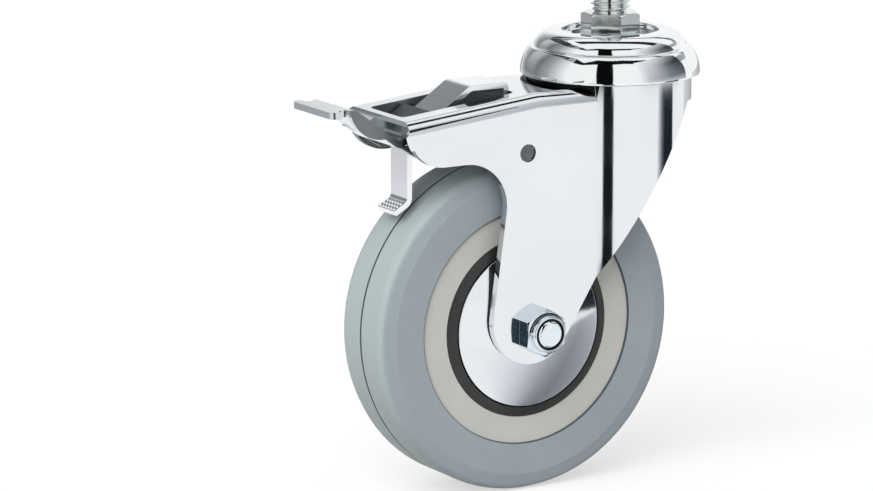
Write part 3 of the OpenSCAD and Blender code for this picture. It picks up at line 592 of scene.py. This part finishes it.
# the floor is white paper: the lift brings lit paper to white and leaves the shadow in
floorMaterial, tree, shader, place = startMaterial("whitePaper")
shader.inputs["Base Color"].default_value = colour(studio["floor"])
shader.inputs["Roughness"].default_value = studio["floorRough"]
shader.inputs["Specular IOR Level"].default_value = studio["floorSpecular"]
shader.inputs["Emission Color"].default_value = (1, 1, 1, 1)
lift = addNode(tree, "ShaderNodeMath", {0: seenRay(tree), 1: studio["floorLift"]}, operation="MULTIPLY")
tree.links.new(lift.outputs[0], shader.inputs["Emission Strength"])
floorPoints = [(x, y, floorHeight) for x, y in ((-half, -half), (half, -half), (half, half), (-half, half))]
addBoard("whiteFloor", floorPoints, [(0, 1, 2, 3)], floorMaterial)

world = bpy.data.worlds.new("whiteRoom")
scene.world = world
world.use_nodes = True
tree = world.node_tree
tree.nodes.clear()
ambient = addNode(tree, "ShaderNodeBackground", {"Strength": studio["ambient"]})
white = addNode(tree, "ShaderNodeBackground", {"Strength": 1.0})
for shade in (ambient, white):
    shade.inputs["Color"].default_value = (1, 1, 1, 1)
room = addNode(tree, "ShaderNodeMixShader", {0: seenRay(tree), 1: ambient.outputs[0], 2: white.outputs[0]})
addNode(tree, "ShaderNodeOutputWorld", {"Surface": room.outputs[0]})

sunData = bpy.data.lights.new("softSun", "SUN")
sunData.energy = studio["sun"]
sunData.angle = math.radians(studio["sunAngle"])
sun = bpy.data.objects.new("softSun", sunData)
sun.rotation_euler = Vector(studio["sunFrom"]).to_track_quat("Z", "Y").to_euler()
sun.visible_glossy = False
scene.collection.objects.link(sun)


# flags of grey cloth, seen only in the metal: curved boards round the swivel axis;
# each stop lists its points from foot to top as azimuth, height in metres and shade
def column(azimuths, heights, shades):
    return list(zip(azimuths, heights, shades))


def upright(azimuth, heights, *shades):
    return column([azimuth] * len(heights), heights, list(shades) * (len(heights) if len(shades) == 1 else 1))


floorFoot, neckTop = -0.139, -0.068
neckRows, edgeRows, hexRows = (floorFoot, neckTop), (floorFoot, -0.035), (neckTop, -0.045)
capRows, backRows, lensRows = (neckTop, 0.0, 0.14, 0.3), (-0.12, -0.03, 0.12, 0.46), (neckTop, 0.4)
ringDark = "#17191b"
ringStops = [
    (-165, 0.27, 0.34, ringDark), (-146, 0.33, 0.5, ringDark), (-100, 0.36, 0.5, ringDark),
    (-60, 0.27, 0.37, ringDark), (-44, 0.16, 0.24, "#4a5054"), (-25, 0.12, 0.19, "#8a9094"),
    (4, 0.09, 0.15, "#b0b6ba"), (13, 0.14, 0.22, "#8a9094"), (27, 0.25, 0.32, "#3a4044"),
    (50, 0.29, 0.35, ringDark), (70, 0.29, 0.35, ringDark), (95, 0.215, 0.3, ringDark),
    (106, 0.22, 0.38, ringDark), (130, 0.3, 0.48, ringDark), (167, 0.3, 0.46, ringDark),
    (195, 0.27, 0.34, ringDark),
]
flags = [
    {"name": "neckFlag", "away": 0.3, "stops": [
        upright(-131, neckRows, "#161a20"), upright(-117, neckRows, "#161a20")]},
    {"name": "lensFlag", "away": 0.3, "stops": [
        column((-138, -143), lensRows, ("#0a0b0c",) * 2), column((-119, -118), lensRows, ("#0a0b0c",) * 2)]},
    {"name": "neckRightFlag", "away": 0.3, "stops": [
        upright(-53, neckRows, "#f4f4f4"), upright(-46, neckRows, "#6a7078"),
        upright(-42, neckRows, "#20262e"),
        upright(-30, neckRows, "#182028"), upright(-26, neckRows, "#2c3238")]},
    {"name": "rightFlag", "away": 0.3, "stops": [
        upright(-84, capRows, "#ffffff"), upright(-72, capRows, "#eef0f2", "#c8ccd0", "#d8dadc", "#f0f0f0"),
        upright(-63, capRows, "#e8eaec", "#b4b8be", "#c8ccd0", "#f0f0f0"),
        upright(-40, capRows, "#e2e4e8", "#80868c", "#70767a", "#e0e0e0"),
        upright(-27, capRows, "#e0e2e4", "#6d777d", "#404648", "#d0d0d0"),
        upright(-13, capRows, "#dcdee0", "#5c646a", "#303638", "#c0c0c0")]},
    {"name": "hexFlag", "away": 0.3, "stops": [
        upright(-149, hexRows, "#565c5e"), upright(-138, hexRows, "#565c5e")]},
    {"name": "backFlag", "away": 0.35, "stops": [
        upright(70, backRows, "#ffffff"), upright(75, backRows, "#fcfcfc", "#fafafa", "#f0f0f0", "#e0e0e0"),
        upright(84, backRows, "#f0f0f2", "#d0d4d4", "#c0c4c4", "#b0b4b4"),
        upright(100, backRows, "#e8e8ec", "#868a8c", "#848689", "#848689"),
        upright(106, backRows, "#e6e6ea", "#7c8082", "#c4c8ca", "#d0d4d6"),
        upright(120, backRows, "#f0f0f4", "#84888a", "#b0b4b6", "#c0c4c6"),
        upright(132, backRows, "#f0f0f4", "#7c8082", "#707476", "#8a8e90"),
        upright(152, backRows, "#e8e8ec", "#a4a8aa", "#a4a8aa", "#a4a8aa"),
        upright(180, backRows, "#fafafa")]},
    {"name": "edgeFlag", "away": 0.35, "stops": [
        upright(3, edgeRows, "#e4e6e6"), upright(30, edgeRows, "#b8bcbc"),
        upright(58, edgeRows, "#7c8082"), upright(80, edgeRows, "#a4a8a8")]},
    {"name": "ringFlag", "away": 0.35, "stops": [
        upright(az, (low, high), shade) for az, low, high, shade in ringStops]},
]
flagMaterial = bpy.data.materials.new("flagCloth")
flagMaterial.use_nodes = True
tree = flagMaterial.node_tree
tree.nodes.clear()
cloth = addNode(tree, "ShaderNodeEmission", {
    "Color": addNode(tree, "ShaderNodeVertexColor", layer_name="shade").outputs["Color"], "Strength": 1.0,
})
addNode(tree, "ShaderNodeOutputMaterial", {"Surface": cloth.outputs[0]})


# hides a flag from all but mirror rays and paints its corners
def finishFlag(board, shades):
    paint = board.data.color_attributes.new("shade", "FLOAT_COLOR", "POINT")
    for i, shade in enumerate(shades):
        paint.data[i].color = shade
    board.visible_camera = False
    board.visible_diffuse = False
    board.visible_shadow = False
    board.visible_transmission = False


# value or shade between two others
def between(start, end, part):
    return start + (end - start) * part


def shadeBetween(start, end, part):
    return [between(a, b, part) for a, b in zip(colour(start), colour(end))]


flagSteps = 10
for flag in flags:
    points, shades = [], []
    rows = len(flag["stops"][0])
    for start, end in zip(flag["stops"], flag["stops"][1:]):
        for i in range(flagSteps + 1):
            part = i / flagSteps
            for (startTurn, startZ, startShade), (endTurn, endZ, endShade) in zip(start, end):
                turn = math.radians(between(startTurn, endTurn, part))
                points.append((flag["away"] * math.cos(turn), flag["away"] * math.sin(turn),
                               between(startZ, endZ, part)))
                shades.append(shadeBetween(startShade, endShade, part))
    columns = range(0, len(points) - rows, rows)
    starts = [first + row for first in columns for row in range(rows - 1)]
    faces = [(i, i + rows, i + rows + 1, i + 1) for i in starts]
    finishFlag(addBoard(flag["name"], points, faces, flagMaterial), shades)

# mats on the floor, seen only in the metal: a fan before the wheel and a dark one for the nut;
# each stop of the fan is its direction from the axle, its reach and the shades at both ends
fan = {"foot": (-0.036, -0.02), "near": 0.006, "lift": 0.0006, "steps": 8, "stops": [
    (-100, 0.13, "#ffffff", "#ffffff"), (-92, 0.13, "#fcfcfe", "#ffffff"), (-86, 0.13, "#eef0f4", "#ffffff"),
    (-74, 0.13, "#dadce2", "#fcfcfe"), (-60, 0.13, "#bcbec6", "#eeeef2"), (-45, 0.15, "#90929a", "#c8c8cc"),
    (-31, 0.25, "#7c7e86", "#a8aab0"), (-22, 0.3, "#848690", "#c8cacc"), (-5, 0.3, "#a0a2aa", "#f4f4f4")]}
fanPoints, fanShades = [], []
fanX, fanY = fan["foot"]
matHeight = floorHeight + fan["lift"]
for start, end in zip(fan["stops"], fan["stops"][1:]):
    startTurn, startReach, *startShades = start
    endTurn, endReach, *endShades = end
    for i in range(fan["steps"] + 1):
        part = i / fan["steps"]
        turn = math.radians(between(startTurn, endTurn, part))
        reach = between(startReach, endReach, part)
        for away, startShade, endShade in zip((fan["near"], reach), startShades, endShades):
            fanPoints.append((fanX + away * math.cos(turn), fanY + away * math.sin(turn), matHeight))
            fanShades.append(shadeBetween(startShade, endShade, part))
fanFaces = [(2 * i, 2 * i + 1, 2 * i + 3, 2 * i + 2) for i in range(len(fanPoints) // 2 - 1)]
finishFlag(addBoard("dishMat", fanPoints, fanFaces, flagMaterial), fanShades)
nutMat = {"left": -0.23, "right": -0.1, "near": -0.14, "far": -0.29, "shade": "#22363e"}
nutPoints = [(nutMat[x], nutMat[y], matHeight) for x, y in (
    ("left", "far"), ("right", "far"), ("right", "near"), ("left", "near"))]
finishFlag(addBoard("nutMat", nutPoints, [(0, 1, 2, 3)], flagMaterial), [colour(nutMat["shade"])] * 4)

# a narrow slat beside the crown, mirrored as the dark line along its bend
slat = {"depth": -0.026, "shade": "#24282c",
        "corners": [(-0.077, -0.0241), (-0.038, -0.0169), (-0.038, -0.0157), (-0.077, -0.0183)]}
slatPoints = [(x, slat["depth"], z) for x, z in slat["corners"]]
finishFlag(addBoard("bendFlag", slatPoints, [(0, 1, 2, 3)], flagMaterial), [colour(slat["shade"])] * 4)

# a dark batten under the ceiling, just behind the object
batten = {"height": 0.6, "azimuth": 58.6, "near": 0.01, "far": 0.2, "left": -0.3, "right": 0.7,
          "shade": "#2a2e30"}
battenTurn = math.radians(batten["azimuth"])
along = Vector((math.cos(battenTurn), math.sin(battenTurn), 0))
across = Vector((along.y, -along.x, 0))
battenPoints = [along * a + across * b + Vector((0, 0, batten["height"])) for a, b in (
    (batten["near"], batten["left"]), (batten["near"], batten["right"]),
    (batten["far"], batten["right"]), (batten["far"], batten["left"]))]
battenBoard = addBoard("ceilingBatten", battenPoints, [(0, 1, 2, 3)], flagMaterial)
finishFlag(battenBoard, [colour(batten["shade"])] * 4)
print("studio set:", len(flags), "flags, two mats, a slat and a batten")

# camera fitted to the photograph
cameraFit = {"place": (-0.735403, -1.147227, 0.21258), "azimuth": -30.4765, "elevation": 11.7901,
             "lens": 189.84, "sensor": 36, "nearest": 0.05}
cameraData = bpy.data.cameras.new("photoCamera")
cameraData.sensor_fit = "HORIZONTAL"
cameraData.sensor_width = cameraFit["sensor"]
cameraData.lens = cameraFit["lens"]
cameraData.clip_start = cameraFit["nearest"]
camera = bpy.data.objects.new("photoCamera", cameraData)
camera.location = cameraFit["place"]
camera.rotation_euler = (math.radians(90 - cameraFit["elevation"]), 0, math.radians(cameraFit["azimuth"]))
scene.collection.objects.link(camera)
scene.camera = camera
scene.view_settings.view_transform = "Standard"
print("camera set")
